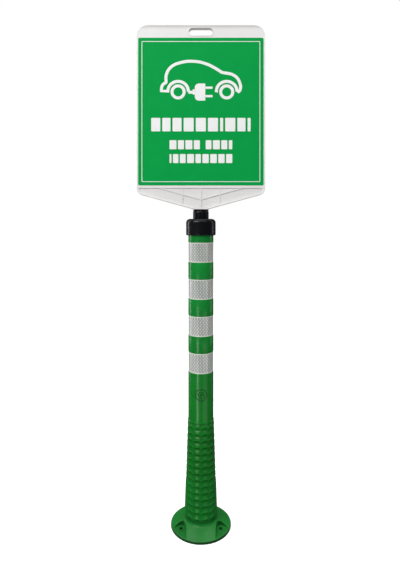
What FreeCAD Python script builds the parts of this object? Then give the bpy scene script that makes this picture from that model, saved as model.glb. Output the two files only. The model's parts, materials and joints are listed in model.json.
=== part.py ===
import FreeCAD, Part
import math
import os

# Delineator post with a sign board, in millimetres. The origin is the centre of the foot on the ground,
# +Z is up, the printed face of the board looks towards -Y and +X is to its right.

# Foot
FLANGE_R = 100.0
FLANGE_EDGE = 8.0
FLANGE_BEVEL = 2.0
CROWN_SLOPE = 0.4
ROOT_R = 8.0
FOOT_TOP = 34.0
BOLT_CIRCLE_R = 75.0
BOLT_HOLE_R = 6.0
# The direction of each bolt seat from the centre, and of the two walls its pocket opens between
BOLT_SEATS = ((90.0, 60.0, 120.0), (210.0, 215.0, 276.0), (330.0, 264.0, 325.0))
BOLT_POCKET_FLOOR = 9.0
BOLT_POCKET_HEIGHT = 30.0
BOLT_POCKET_R = 15.5
BOLT_POCKET_SHIFT = 2.5
SEAT_R = 10.5
SEAT_RISE = 0.6

# Flexible zone: a cone with rows of lips, as plain rings
CONE_R_GROUND = 53.0
CONE_SLOPE = 0.030
CONE_WALL = 4.0
LOWEST_LIP = 48.0
LIP_PITCH = 20.8
LIP_COUNT = 15
LIP_DEPTH = 1.7
LIP_CHAMFER = 0.7
SPLIT_LIP = 7
ZONE_SPLIT = LOWEST_LIP + SPLIT_LIP * LIP_PITCH - LIP_CHAMFER
ZONE_TOP = 351.0
SHOULDER_TOP = 356.0
ZONE_END = 360.0
BODY_GAP = 0.3

# Plain tube
TUBE_R = 42.0
TUBE_WALL = 4.5
POST_TOP = 1000.0
BAND_HEIGHT = 65.0
BAND_PITCH = 121.0
TOP_BAND_Z = 910.0
BAND_COUNT = 4
RECESS_DEPTH = 0.8
RECESS_MARGIN = 1.0
BAND_THICKNESS = 0.6
EMBLEM_Z = 447.0
EMBLEM_R = 20.0
EMBLEM_LINE = 3.0
EMBLEM_DOT_R = 6.5
EMBLEM_RISE = 0.6

# Cap on the tube
CAP_R = 49.5
CAP_BOTTOM = 966.0
CAP_TOP = 1021.0
CAP_SHOULDER_R = 13.0
CAP_ROOF = 8.0
SOCKET_R = 22.0
SOCKET_BORE_R = 19.0
SOCKET_TOP = 1042.0
SOCKET_BOTTOM = 985.0
PLUG_BOTTOM = 960.0
PLUG_BORE_R = 31.0
SCREW_Z = 993.0
SCREW_ANGLES = (-12.0, 168.0)
SCREW_R = 2.5
SCREW_TIP_R = 32.0
SCREW_HEAD_R = 4.6
SCREW_HEAD_HEIGHT = 3.0
DRIVE_WIDTH = 1.2
DRIVE_DEPTH = 0.8
SCREW_RECESS_R = 5.5
SCREW_RECESS_DEPTH = 4.0

# Neck and swivel
LUG_R = 23.2
LUG_LOW = 1028.0
LUG_HIGH = 1032.0
LOCK_RING_R = 26.4
LOCK_RING_ROOT_R = 24.9
LOCK_RING_TOP = 1047.7
LOCK_RING_LIP_R = 17.4
LOCK_RING_RIBS = 12
RIB_WIDTH = 7.0
TURN_CLEARANCE = 0.1
SHAFT_CLEARANCE = 0.05
SHAFT_R = 15.0
SHAFT_BORE_R = 10.0
SHAFT_BOTTOM = 972.0
GROOVE_R = 13.5
CLIP_THICKNESS = 1.7
CLIP_R = 19.0
WASHER_R = 21.0
WASHER_THICKNESS = 2.0
BUSH_FLANGE_R = 21.5
BUSH_FLANGE = 2.0
SEAL_SECTION_R = 1.0

# Sign board
BOARD_WIDTH = 428.0
BOARD_BOTTOM = 1052.0
BOARD_TOP = 1667.0
BOARD_FOOT_HALF = 27.0
BOARD_FOOT_SIDE = 2.0
BOARD_SLANT = 0.277
HALF_THICKNESS = 8.0
CORNER_TOP_R = 37.0
CORNER_SIDE_R = 22.0
EDGE_R = 3.0
SHELL_WALL = 2.5
RIM_WALL = 3.0
POCKET_RIM = 10.0
POCKET_TOP = 1121.0
POCKET_DEPTH = 3.0
POCKET_WALL = 2.0
RIB_THICKNESS = 3.0
RIB_DROP = 0.5
SIDE_RIB_X = 62.0
V_RIB_APEX = 1086.0
SLOT_Z = 1645.0
SLOT_WIDTH = 80.0
SLOT_HEIGHT = 24.0
SLOT_LIP = 4.5
SLOT_LIP_RISE = 1.0
LABEL_WIDTH = 418.0
LABEL_BOTTOM = 1132.5
LABEL_TOP = 1624.5
LABEL_R = 5.0
LABEL_THICKNESS = 0.4
BLADE_WIDTH = 40.0
BLADE_TOP = 1116.0
BLADE_HALF = 3.0
DISC_R = 26.0
SHELL_SCREW_PLACES = ((-150.0, 1647.0), (150.0, 1647.0), (-100.0, 1097.0),
                      (100.0, 1097.0), (-12.0, 1075.0), (12.0, 1075.0))
SHELL_SCREW_R = 1.6
SHELL_SCREW_HEAD_R = 3.5
SHELL_SCREW_HEAD = 1.8
BOSS_R = 4.5

Z_AXIS = FreeCAD.Vector(0, 0, 1)
ORIGIN = FreeCAD.Vector(0, 0, 0)


def cone_radius(z):
    """Outer radius of the flexible zone's plain cone at height z."""
    return CONE_R_GROUND - CONE_SLOPE * z


def polygon_face(points):
    """A flat face through a closed run of points."""
    corners = [FreeCAD.Vector(*p) for p in points]
    return Part.Face(Part.makePolygon(corners + corners[:1]))


def turned(profile):
    """A solid of revolution about Z from (radius, height) points."""
    face = polygon_face([(r, 0, z) for r, z in profile])
    return face.revolve(ORIGIN, Z_AXIS, 360)


def ring(inner_r, outer_r, bottom, top):
    """A plain ring about Z."""
    return turned([(inner_r, bottom), (outer_r, bottom), (outer_r, top), (inner_r, top)])


def arc_points(centre_r, centre_z, radius, start, end, steps=8):
    """Points (radius, height) along an arc, with angles in degrees from the outward direction."""
    angles = [math.radians(start + (end - start) * i / steps) for i in range(steps + 1)]
    return [(centre_r + radius * math.cos(a), centre_z + radius * math.sin(a)) for a in angles]


def rounded_outline(corners):
    """A closed wire in the XZ plane from (x, z, corner radius) points."""
    count = len(corners)
    starts = []
    arcs = []
    for i, (x, z, radius) in enumerate(corners):
        here = FreeCAD.Vector(x, 0, z)
        before = FreeCAD.Vector(corners[i - 1][0], 0, corners[i - 1][1]) - here
        after = FreeCAD.Vector(corners[(i + 1) % count][0], 0, corners[(i + 1) % count][1]) - here
        before.normalize()
        after.normalize()
        half_angle = before.getAngle(after) / 2
        reach = radius / math.tan(half_angle)
        middle = before + after
        middle.normalize()
        depth = radius / math.sin(half_angle) - radius
        starts.append((here + before * reach, here + after * reach))
        arcs.append(here + middle * depth)
    edges = []
    for i, (enter, leave) in enumerate(starts):
        if corners[i][2] > 0:
            edges.append(Part.Arc(enter, arcs[i], leave).toShape())
        following = starts[(i + 1) % count][0]
        edges.append(Part.LineSegment(leave, following).toShape())
    return Part.Wire(edges)


def slab(wire, from_y, to_y):
    """A flat slab between two depths, from an outline in the XZ plane."""
    face = Part.Face(wire)
    face.translate(FreeCAD.Vector(0, from_y, 0))
    return face.extrude(FreeCAD.Vector(0, to_y - from_y, 0))


def rounded_bar(width, height, centre_z):
    """The outline of a long hole with round ends."""
    low, high = centre_z - height / 2, centre_z + height / 2
    radius = height / 2 - 0.01
    half = width / 2
    return rounded_outline([(-half, low, radius), (half, low, radius),
                            (half, high, radius), (-half, high, radius)])


def save(shape, node):
    """Write one sub-part, named after its node."""
    if not shape.isValid():
        raise ValueError(node + " is not a valid shape")
    shape.exportStep("parts/" + node + ".step")


def pin(radius, from_point, to_point):
    """A round pin between two points."""
    direction = to_point - from_point
    return Part.makeCylinder(radius, direction.Length, from_point, direction)


def direction(angle):
    """A flat unit vector at an angle in degrees about Z."""
    turn = math.radians(angle)
    return FreeCAD.Vector(math.cos(turn), math.sin(turn), 0)


def bolt_pocket(hole, low_wall, high_wall):
    """The space above one bolt seat: round towards the post, open outwards between two straight walls."""
    towards_post = -math.copysign(BOLT_POCKET_SHIFT, hole.y)
    centre = hole + FreeCAD.Vector(0, towards_post, BOLT_POCKET_FLOOR)
    low_foot = centre + direction(low_wall - 90) * BOLT_POCKET_R
    high_foot = centre + direction(high_wall + 90) * BOLT_POCKET_R
    low_end = low_foot + direction(low_wall) * FLANGE_R
    high_end = high_foot + direction(high_wall) * FLANGE_R
    wedge = polygon_face([tuple(p) for p in (centre, low_foot, low_end, high_end, high_foot)])
    wedge = wedge.extrude(Z_AXIS * BOLT_POCKET_HEIGHT)
    return wedge.fuse(Part.makeCylinder(BOLT_POCKET_R, BOLT_POCKET_HEIGHT, centre))


def foot_outline():
    """Outer (radius, height) points of the foot, from the ground up: edge, crown, root and wall."""
    rim = FLANGE_R - FLANGE_BEVEL
    wall = cone_radius(FOOT_TOP) + LIP_DEPTH
    root_centre_r = wall + ROOT_R
    lift = math.hypot(1, CROWN_SLOPE)
    root_centre_z = FLANGE_EDGE + CROWN_SLOPE * (rim - root_centre_r) + ROOT_R * lift
    meets_crown = 180 + math.degrees(math.atan2(1, CROWN_SLOPE))
    root = arc_points(root_centre_r, root_centre_z, ROOT_R, meets_crown, 180)
    edge = [(FLANGE_R - 1, 0), (FLANGE_R, 1), (FLANGE_R, FLANGE_EDGE - FLANGE_BEVEL), (rim, FLANGE_EDGE)]
    return edge + root + [(wall, FOOT_TOP)]


def foot_flange():
    """The bolt-down flange with the root of the flexible zone."""
    bore = cone_radius(0) - CONE_WALL
    shape = turned([(bore, 0)] + foot_outline() + [(bore, FOOT_TOP)])
    for seat_angle, low_wall, high_wall in BOLT_SEATS:
        shape = shape.cut(bolt_pocket(direction(seat_angle) * BOLT_CIRCLE_R, low_wall, high_wall))
    for seat_angle, _, _ in BOLT_SEATS:
        hole = direction(seat_angle) * BOLT_CIRCLE_R
        seat = Part.makeCylinder(SEAT_R, BOLT_POCKET_FLOOR + SEAT_RISE, hole)
        bore_pin = Part.makeCylinder(BOLT_HOLE_R, 3 * BOLT_POCKET_FLOOR, hole - Z_AXIS * BOLT_POCKET_FLOOR)
        shape = shape.fuse(seat).cut(bore_pin)
    return shape.removeSplitter()


def lip_profile(first, last):
    """Outer (radius, height) points of the lips from number first up to number last, counted from below."""
    points = []
    for number in range(first, last + 1):
        z = LOWEST_LIP + number * LIP_PITCH
        points.append((cone_radius(z), z - LIP_CHAMFER))
        points.append((cone_radius(z) + LIP_DEPTH, z))
    return points


def flex_zone_lower():
    """The part of the lipped zone that bends above the foot."""
    low = FOOT_TOP + BODY_GAP
    bore = cone_radius(0) - CONE_WALL
    outside = [(cone_radius(low) + LIP_DEPTH, low), (cone_radius(low) + LIP_DEPTH, low + LIP_CHAMFER)]
    outside += lip_profile(0, SPLIT_LIP - 1) + [(cone_radius(ZONE_SPLIT), ZONE_SPLIT)]
    return turned([(bore, low)] + outside + [(cone_radius(ZONE_SPLIT) - CONE_WALL, ZONE_SPLIT)])


def flex_zone_upper():
    """The part of the lipped zone that bends below the plain tube."""
    low = ZONE_SPLIT + BODY_GAP
    outside = [(cone_radius(low), low)] + lip_profile(SPLIT_LIP, LIP_COUNT - 1)[1:]
    outside += [(cone_radius(ZONE_TOP), ZONE_TOP - LIP_CHAMFER), (cone_radius(ZONE_TOP) + LIP_DEPTH, ZONE_TOP),
                (TUBE_R, SHOULDER_TOP), (TUBE_R, ZONE_END)]
    return turned([(cone_radius(low) - CONE_WALL, low)] + outside + [(TUBE_R - TUBE_WALL, ZONE_END)])


def band_centres():
    """Heights of the reflective bands, from the top one down."""
    return [TOP_BAND_Z - BAND_PITCH * i for i in range(BAND_COUNT)]


def screw_line(angle, radius):
    """A point at the screws' height, at an angle and a radius about Z."""
    return direction(angle) * radius + Z_AXIS * SCREW_Z


def cap_screw(angle):
    """One fixing screw, from its head in the cap to its tip in the plug."""
    head_seat = CAP_R - SCREW_RECESS_DEPTH
    head = pin(SCREW_HEAD_R, screw_line(angle, head_seat), screw_line(angle, head_seat + SCREW_HEAD_HEIGHT))
    shank = pin(SCREW_R, screw_line(angle, SCREW_TIP_R), screw_line(angle, head_seat + 1))
    slot = Part.makeBox(2 * DRIVE_DEPTH, DRIVE_WIDTH, 2 * SCREW_HEAD_R)
    slot.translate(FreeCAD.Vector(-DRIVE_DEPTH, -DRIVE_WIDTH / 2, -SCREW_HEAD_R))
    slot.rotate(ORIGIN, Z_AXIS, angle)
    slot.translate(screw_line(angle, head_seat + SCREW_HEAD_HEIGHT))
    return head.fuse(shank).cut(slot)


def screw_holes(radius, from_r, to_r):
    """Radial holes for the cap screws between two radii."""
    holes = [pin(radius, screw_line(a, from_r), screw_line(a, to_r)) for a in SCREW_ANGLES]
    return Part.makeCompound(holes)


def emblem():
    """A raised ring with a dot on the front of the tube."""
    start = FreeCAD.Vector(0, 0, EMBLEM_Z)
    front = FreeCAD.Vector(0, -2 * TUBE_R, EMBLEM_Z)
    outer = pin(EMBLEM_R, start, front)
    outline = outer.cut(pin(EMBLEM_R - EMBLEM_LINE, start, front))
    marks = outline.fuse(pin(EMBLEM_DOT_R, start, front))
    height = 2 * EMBLEM_R
    skin = ring(TUBE_R - 1, TUBE_R + EMBLEM_RISE, EMBLEM_Z - height, EMBLEM_Z + height)
    return marks.common(skin)


def post_tube():
    """The plain tube with a recess for each band."""
    profile = [(TUBE_R - TUBE_WALL, ZONE_END), (TUBE_R, ZONE_END)]
    for z in reversed(band_centres()):
        half = BAND_HEIGHT / 2 + RECESS_MARGIN
        floor = TUBE_R - RECESS_DEPTH
        profile += [(TUBE_R, z - half), (floor, z - half), (floor, z + half), (TUBE_R, z + half)]
    profile += [(TUBE_R, POST_TOP), (TUBE_R - TUBE_WALL, POST_TOP)]
    tube = turned(profile).fuse(emblem())
    return tube.cut(screw_holes(SCREW_R, SCREW_TIP_R, CAP_R)).removeSplitter()


def reflective_band(z):
    """One reflective band in its recess."""
    floor = TUBE_R - RECESS_DEPTH
    return ring(floor, floor + BAND_THICKNESS, z - BAND_HEIGHT / 2, z + BAND_HEIGHT / 2)


def cap_collar():
    """The cap with its skirt, its socket and two lugs for the lock ring."""
    shoulder = arc_points(CAP_R - CAP_SHOULDER_R, CAP_TOP - CAP_SHOULDER_R, CAP_SHOULDER_R, 0, 90)
    hollow_r = TUBE_R - TUBE_WALL
    roof = CAP_TOP - CAP_ROOF
    shape = turned([(TUBE_R, CAP_BOTTOM), (CAP_R - 2, CAP_BOTTOM), (CAP_R, CAP_BOTTOM + 2)] + shoulder
                   + [(SOCKET_R, CAP_TOP), (SOCKET_R, SOCKET_TOP), (SOCKET_BORE_R, SOCKET_TOP),
                      (SOCKET_BORE_R, SOCKET_BOTTOM), (SOCKET_R, SOCKET_BOTTOM), (SOCKET_R, roof),
                      (hollow_r - CAP_ROOF / 2, roof), (hollow_r, roof - CAP_ROOF / 2),
                      (hollow_r, POST_TOP), (TUBE_R, POST_TOP)])
    for start in (20, 200):
        lug = Part.makeCylinder(LUG_R, LUG_HIGH - LUG_LOW, FreeCAD.Vector(0, 0, LUG_LOW), Z_AXIS, 40)
        lug = lug.cut(Part.makeCylinder(SOCKET_R - 1, LUG_HIGH, FreeCAD.Vector(0, 0, 0)))
        lug.rotate(ORIGIN, Z_AXIS, start)
        shape = shape.fuse(lug)
    shape = shape.cut(screw_holes(SCREW_RECESS_R, CAP_R - SCREW_RECESS_DEPTH, CAP_R + 5))
    return shape.cut(screw_holes(SCREW_R, TUBE_R - 1, CAP_R)).removeSplitter()


def cap_plug():
    """The hard ring inside the top of the tube."""
    outer = TUBE_R - TUBE_WALL
    shape = turned([(PLUG_BORE_R + 3, PLUG_BOTTOM), (outer - 1, PLUG_BOTTOM), (outer, PLUG_BOTTOM + 2),
                    (outer, POST_TOP), (PLUG_BORE_R, POST_TOP), (PLUG_BORE_R, PLUG_BOTTOM + 3)])
    return shape.cut(screw_holes(SCREW_R, SCREW_TIP_R, CAP_R))


def stem_bush():
    """The bush that lines the socket, with a flange on the socket's top."""
    bore = SHAFT_R + SHAFT_CLEARANCE
    return turned([(bore, SOCKET_BOTTOM), (SOCKET_BORE_R, SOCKET_BOTTOM), (SOCKET_BORE_R, SOCKET_TOP),
                   (BUSH_FLANGE_R, SOCKET_TOP), (BUSH_FLANGE_R, SOCKET_TOP + BUSH_FLANGE),
                   (bore, SOCKET_TOP + BUSH_FLANGE)])


def lock_ring():
    """The ribbed ring round the neck, which turns on the socket and is held by its lugs."""
    bore = SOCKET_R + TURN_CLEARANCE
    low = CAP_TOP + BODY_GAP
    lip = SOCKET_TOP + BUSH_FLANGE + BODY_GAP
    track = LUG_R + TURN_CLEARANCE
    root = LOCK_RING_ROOT_R
    shape = turned([(bore, low), (root, low), (root, LOCK_RING_TOP), (LOCK_RING_LIP_R, LOCK_RING_TOP),
                    (LOCK_RING_LIP_R, lip), (bore, lip), (bore, LUG_HIGH + BODY_GAP),
                    (track, LUG_HIGH + BODY_GAP), (track, LUG_LOW - BODY_GAP), (bore, LUG_LOW - BODY_GAP)])
    round_limit = ring(root - 0.5, LOCK_RING_R, low + 0.5, LOCK_RING_TOP - 0.5)
    for i in range(LOCK_RING_RIBS):
        rib = Part.makeBox(LOCK_RING_R, RIB_WIDTH, LOCK_RING_TOP - low)
        rib.translate(FreeCAD.Vector(0, -RIB_WIDTH / 2, low))
        rib.rotate(ORIGIN, Z_AXIS, (i + 0.5) * 360 / LOCK_RING_RIBS)
        shape = shape.fuse(rib.common(round_limit))
    return shape.removeSplitter()


def clip_top():
    """Height of the retaining clip's upper face, under the thrust washer."""
    return SOCKET_BOTTOM - BODY_GAP - WASHER_THICKNESS


def thrust_washer():
    """The washer that bears up against the end of the socket."""
    return ring(SHAFT_R, WASHER_R, clip_top(), clip_top() + WASHER_THICKNESS)


def retaining_clip():
    """An open spring ring in the shaft's groove."""
    clip = ring(GROOVE_R, CLIP_R, clip_top() - CLIP_THICKNESS, clip_top())
    gap = Part.makeBox(2 * CLIP_R, 6, 10)
    gap.translate(FreeCAD.Vector(0, -3, clip_top() - 5))
    return clip.cut(gap)


def neck_seal():
    """A rubber ring on the shaft, inside the lock ring's lip."""
    centre = FreeCAD.Vector(0, 0, LOCK_RING_TOP - 2 * SEAL_SECTION_R)
    return Part.makeTorus(SHAFT_R + SEAL_SECTION_R, SEAL_SECTION_R, centre)


def shell_screw_holes(radius, from_y, to_y, places=SHELL_SCREW_PLACES):
    """Holes or pins through the board at the screw places."""
    holes = [pin(radius, FreeCAD.Vector(x, from_y, z), FreeCAD.Vector(x, to_y, z)) for x, z in places]
    return Part.makeCompound(holes)


def sign_stem():
    """The shaft with its disc, and the blade between the shells."""
    groove_low = clip_top() - CLIP_THICKNESS
    disc_low = LOCK_RING_TOP + BODY_GAP
    shape = turned([(SHAFT_BORE_R, SHAFT_BOTTOM), (SHAFT_R - 1.5, SHAFT_BOTTOM), (SHAFT_R, SHAFT_BOTTOM + 1.5),
                    (SHAFT_R, groove_low), (GROOVE_R, groove_low), (GROOVE_R, clip_top()),
                    (SHAFT_R, clip_top()), (SHAFT_R, disc_low), (DISC_R - 1, disc_low), (DISC_R, disc_low + 1),
                    (DISC_R, BOARD_BOTTOM - 1), (DISC_R - 1, BOARD_BOTTOM), (SHAFT_BORE_R - 9, BOARD_BOTTOM),
                    (SHAFT_BORE_R - 9, disc_low - 5), (SHAFT_BORE_R, disc_low - 5)])
    blade = Part.makeBox(BLADE_WIDTH, 2 * BLADE_HALF, BLADE_TOP - BOARD_BOTTOM + 2)
    blade.translate(FreeCAD.Vector(-BLADE_WIDTH / 2, -BLADE_HALF, BOARD_BOTTOM - 2))
    shape = shape.fuse(blade)
    return shape.cut(shell_screw_holes(SHELL_SCREW_R, -HALF_THICKNESS, HALF_THICKNESS)).removeSplitter()


def board_outline():
    """The outline of the sign board."""
    half = BOARD_WIDTH / 2
    shoulder = BOARD_BOTTOM + BOARD_FOOT_SIDE + BOARD_SLANT * (half - BOARD_FOOT_HALF)
    foot_r = BOARD_FOOT_SIDE
    return rounded_outline([(-BOARD_FOOT_HALF, BOARD_BOTTOM, foot_r), (BOARD_FOOT_HALF, BOARD_BOTTOM, foot_r),
                            (half, shoulder, CORNER_SIDE_R), (half, BOARD_TOP, CORNER_TOP_R),
                            (-half, BOARD_TOP, CORNER_TOP_R), (-half, shoulder, CORNER_SIDE_R)])


def pocket_slab(from_y, to_y):
    """A slab the shape of the recessed field at the foot of the board."""
    field = slab(board_outline().makeOffset2D(-POCKET_RIM), from_y, to_y)
    keep = Part.makeBox(BOARD_WIDTH, 4 * HALF_THICKNESS, POCKET_TOP - BOARD_BOTTOM)
    keep.translate(FreeCAD.Vector(-BOARD_WIDTH / 2, -2 * HALF_THICKNESS, BOARD_BOTTOM))
    return field.common(keep)


def pocket_ribs():
    """The ribs that stand on the floor of the recessed field."""
    floor = POCKET_DEPTH - HALF_THICKNESS
    top = RIB_DROP - HALF_THICKNESS
    reach = (POCKET_TOP - V_RIB_APEX) / BOARD_SLANT
    half = RIB_THICKNESS / 2
    ribs = []
    for x in (-SIDE_RIB_X, 0, SIDE_RIB_X):
        bar = Part.makeBox(RIB_THICKNESS, floor - top, POCKET_TOP - BOARD_BOTTOM)
        bar.translate(FreeCAD.Vector(x - half, top, BOARD_BOTTOM))
        ribs.append(bar)
    vee = polygon_face([(-reach, top, POCKET_TOP + half), (0, top, V_RIB_APEX + half),
                        (reach, top, POCKET_TOP + half), (reach, top, POCKET_TOP - half),
                        (0, top, V_RIB_APEX - half), (-reach, top, POCKET_TOP - half)])
    ribs.append(vee.extrude(FreeCAD.Vector(0, floor - top, 0)))
    joined = ribs[0].multiFuse(ribs[1:])
    return joined.common(pocket_slab(-HALF_THICKNESS, 0))


def screw_bosses():
    """Short pillars inside a half shell, from within its wall to the parting face."""
    upper = [place for place in SHELL_SCREW_PLACES if place[1] > POCKET_TOP]
    lower = [place for place in SHELL_SCREW_PLACES if place[1] < POCKET_TOP]
    from_face = SHELL_WALL / 2 - HALF_THICKNESS
    from_field = POCKET_DEPTH + POCKET_WALL / 2 - HALF_THICKNESS
    return [shell_screw_holes(BOSS_R, from_face, 0, upper), shell_screw_holes(BOSS_R, from_field, 0, lower)]


def shell_hollow():
    """The space inside a half shell, which leaves the floor and the sides of the recessed field."""
    outline = board_outline()
    inner_face = SHELL_WALL - HALF_THICKNESS
    field_face = POCKET_DEPTH + POCKET_WALL - HALF_THICKNESS
    hollow = slab(outline.makeOffset2D(-RIM_WALL), inner_face, 0)
    field_block = slab(outline.makeOffset2D(SHELL_WALL - POCKET_RIM), inner_face, field_face)
    lower = Part.makeBox(BOARD_WIDTH, HALF_THICKNESS, POCKET_TOP + SHELL_WALL - BOARD_BOTTOM)
    lower.translate(FreeCAD.Vector(-BOARD_WIDTH / 2, -HALF_THICKNESS, BOARD_BOTTOM))
    return hollow.cut(field_block.common(lower))


def half_shell():
    """One half shell, with its outer face towards -Y, without the screws' details."""
    shape = slab(board_outline(), -HALF_THICKNESS, 0)
    rim = [edge for edge in shape.Edges if edge.BoundBox.YMax < -HALF_THICKNESS + 0.001]
    shape = shape.makeFillet(EDGE_R, rim)
    shape = shape.cut(shell_hollow()).cut(pocket_slab(-2 * HALF_THICKNESS, POCKET_DEPTH - HALF_THICKNESS))
    shape = shape.fuse(pocket_ribs())
    lip = slab(rounded_bar(SLOT_WIDTH + 2 * SLOT_LIP, SLOT_HEIGHT + 2 * SLOT_LIP, SLOT_Z),
               -HALF_THICKNESS - SLOT_LIP_RISE, 0)
    slot = slab(rounded_bar(SLOT_WIDTH, SLOT_HEIGHT, SLOT_Z), -2 * HALF_THICKNESS, HALF_THICKNESS)
    shape = shape.fuse(lip).cut(slot)
    shape = shape.fuse(screw_bosses())
    room = Part.makeBox(BLADE_WIDTH, 2 * BLADE_HALF, BLADE_TOP - BOARD_BOTTOM + BLADE_WIDTH)
    room.translate(FreeCAD.Vector(-BLADE_WIDTH / 2, -BLADE_HALF, BOARD_BOTTOM - BLADE_WIDTH))
    return shape.cut(room)


def sign_front_shell():
    """The front half, with blind holes for the screws' ends."""
    tip = SHELL_WALL + 1 - HALF_THICKNESS
    return half_shell().cut(shell_screw_holes(SHELL_SCREW_R, tip, 1)).removeSplitter()


def shell_screw_seat():
    """Depth of the face that the shell screws' heads bear on."""
    return HALF_THICKNESS - POCKET_DEPTH - 0.5


def sign_rear_shell():
    """The rear half, with a counterbore for each screw head."""
    shape = half_shell()
    shape.rotate(ORIGIN, Z_AXIS, 180)
    shape = shape.cut(shell_screw_holes(SHELL_SCREW_R, -1, HALF_THICKNESS + 1))
    heads = shell_screw_holes(SHELL_SCREW_HEAD_R + 0.3, shell_screw_seat(), HALF_THICKNESS + 1)
    return shape.cut(heads).removeSplitter()


def shell_screws():
    """The six screws that close the board from the back."""
    tip = SHELL_WALL + 1 - HALF_THICKNESS
    seat = shell_screw_seat()
    screws = []
    for x, z in SHELL_SCREW_PLACES:
        shank = pin(SHELL_SCREW_R, FreeCAD.Vector(x, tip, z), FreeCAD.Vector(x, seat + 0.5, z))
        head = pin(SHELL_SCREW_HEAD_R, FreeCAD.Vector(x, seat, z), FreeCAD.Vector(x, seat + SHELL_SCREW_HEAD, z))
        screws.append(shank.fuse(head).removeSplitter())
    return Part.makeCompound(screws)


def label(face_y, outer_y):
    """A label between the face it is stuck on and its own outer face."""
    half = LABEL_WIDTH / 2
    outline = rounded_outline([(-half, LABEL_BOTTOM, LABEL_R), (half, LABEL_BOTTOM, LABEL_R),
                               (half, LABEL_TOP, LABEL_R), (-half, LABEL_TOP, LABEL_R)])
    return slab(outline, face_y, outer_y)


os.makedirs("parts", exist_ok=True)
save(foot_flange(), "foot_flange")
save(flex_zone_lower(), "flex_zone_lower")
save(flex_zone_upper(), "flex_zone_upper")
save(post_tube(), "post_tube")
for number, height in enumerate(band_centres(), start=1):
    save(reflective_band(height), "reflective_band_" + str(number))
save(cap_collar(), "cap_collar")
save(cap_plug(), "cap_plug")
save(Part.makeCompound([cap_screw(angle) for angle in SCREW_ANGLES]), "cap_screws")
save(stem_bush(), "stem_bush")
save(lock_ring(), "lock_ring")
save(thrust_washer(), "thrust_washer")
save(retaining_clip(), "retaining_clip")
save(neck_seal(), "neck_seal")
save(sign_stem(), "sign_stem")
save(sign_front_shell(), "sign_front_shell")
save(sign_rear_shell(), "sign_rear_shell")
save(shell_screws(), "shell_screws")
save(label(-HALF_THICKNESS, -HALF_THICKNESS - LABEL_THICKNESS), "label_front")
save(label(HALF_THICKNESS, HALF_THICKNESS + LABEL_THICKNESS), "label_rear")
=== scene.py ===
# %% [markdown]
# # A flexible post with a sign board
# The object is a bolt-down marker post of soft green plastic. Its lower part is covered with rows of
# scales and bends when a car hits it. It wears four reflective bands and a black cap, and in the cap turns
# a white board with a green label. The CAD model gives every place and size. This lesson builds the
# visible skin of each piece around it.

# %% Load the CAD frame
import json
import math
import bmesh
import bpy
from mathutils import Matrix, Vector


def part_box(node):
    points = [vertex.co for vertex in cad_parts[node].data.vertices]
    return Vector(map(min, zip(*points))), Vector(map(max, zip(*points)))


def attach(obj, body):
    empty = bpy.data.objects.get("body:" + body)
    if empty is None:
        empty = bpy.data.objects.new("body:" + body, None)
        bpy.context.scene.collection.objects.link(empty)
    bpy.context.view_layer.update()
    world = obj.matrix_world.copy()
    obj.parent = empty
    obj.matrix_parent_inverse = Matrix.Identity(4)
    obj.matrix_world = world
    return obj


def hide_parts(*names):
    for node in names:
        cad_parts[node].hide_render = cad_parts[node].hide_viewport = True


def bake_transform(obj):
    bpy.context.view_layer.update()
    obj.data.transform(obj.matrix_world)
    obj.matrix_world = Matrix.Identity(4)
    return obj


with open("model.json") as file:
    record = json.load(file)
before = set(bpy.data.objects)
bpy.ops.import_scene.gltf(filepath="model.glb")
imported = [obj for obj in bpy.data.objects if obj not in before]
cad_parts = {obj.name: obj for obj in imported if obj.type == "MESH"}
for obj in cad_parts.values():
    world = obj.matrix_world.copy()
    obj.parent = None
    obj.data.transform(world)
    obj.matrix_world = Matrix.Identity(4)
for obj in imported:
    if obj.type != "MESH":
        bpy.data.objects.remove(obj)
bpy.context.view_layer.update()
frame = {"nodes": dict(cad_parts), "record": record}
bpy.ops.object.select_all(action="DESELECT")

# %% [markdown]
# ## Tools of the workshop
# Blender works in metres, while a drawing of such a part is in millimetres, so every helper takes
# millimetres. Pieces are shaped in edit mode, as by hand: some points, edges or faces are picked by where
# they are, and an operator moves, extrudes or bevels them. When a mesh is closed, Blender turns its faces
# outwards. It can guess wrongly on a thin tube with undercut lips, so the volume is tested afterwards.

# %% Helpers: open, pick and close a mesh
MM = 0.001


def take(piece):
    """Makes one piece the selected and active one."""
    bpy.ops.object.select_all(action="DESELECT")
    piece.select_set(True)
    bpy.context.view_layer.objects.active = piece
    return piece


def named(name):
    """Names the primitive just added and puts its place in its mesh."""
    piece = bpy.context.object
    piece.name = name
    piece.data.name = name
    take(piece)
    bpy.ops.object.transform_apply(location=True, rotation=True, scale=True)
    return piece


def pick_all():
    """Selects all of the open mesh."""
    bpy.ops.mesh.select_mode(type="VERT")
    bpy.ops.mesh.select_all(action="SELECT")


def open_mesh(piece):
    """Opens a piece in edit mode with all of it selected."""
    take(piece)
    bpy.ops.object.mode_set(mode="EDIT")
    pick_all()


def leave_mesh():
    """Goes back from edit mode to object mode."""
    bpy.ops.object.mode_set(mode="OBJECT")


def volume(piece):
    """A closed piece's volume in mm3, which is below 0 where the piece is inside out."""
    return sum(face.center.dot(face.normal) * face.area for face in piece.data.polygons) / 3 / MM ** 3


def close_mesh():
    """Welds double points, turns the faces outwards and leaves edit mode."""
    pick_all()
    bpy.ops.mesh.remove_doubles(threshold=0.002 * MM)
    bpy.ops.mesh.normals_make_consistent(inside=False)
    leave_mesh()
    if volume(bpy.context.object) < 0:
        open_mesh(bpy.context.object)
        bpy.ops.mesh.flip_normals()
        leave_mesh()


def middle(item):
    """Where a point, edge or face is, in millimetres."""
    points = [item] if isinstance(item, bmesh.types.BMVert) else item.verts
    return sum((p.co for p in points), points[0].co * 0) / len(points) / MM


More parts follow.
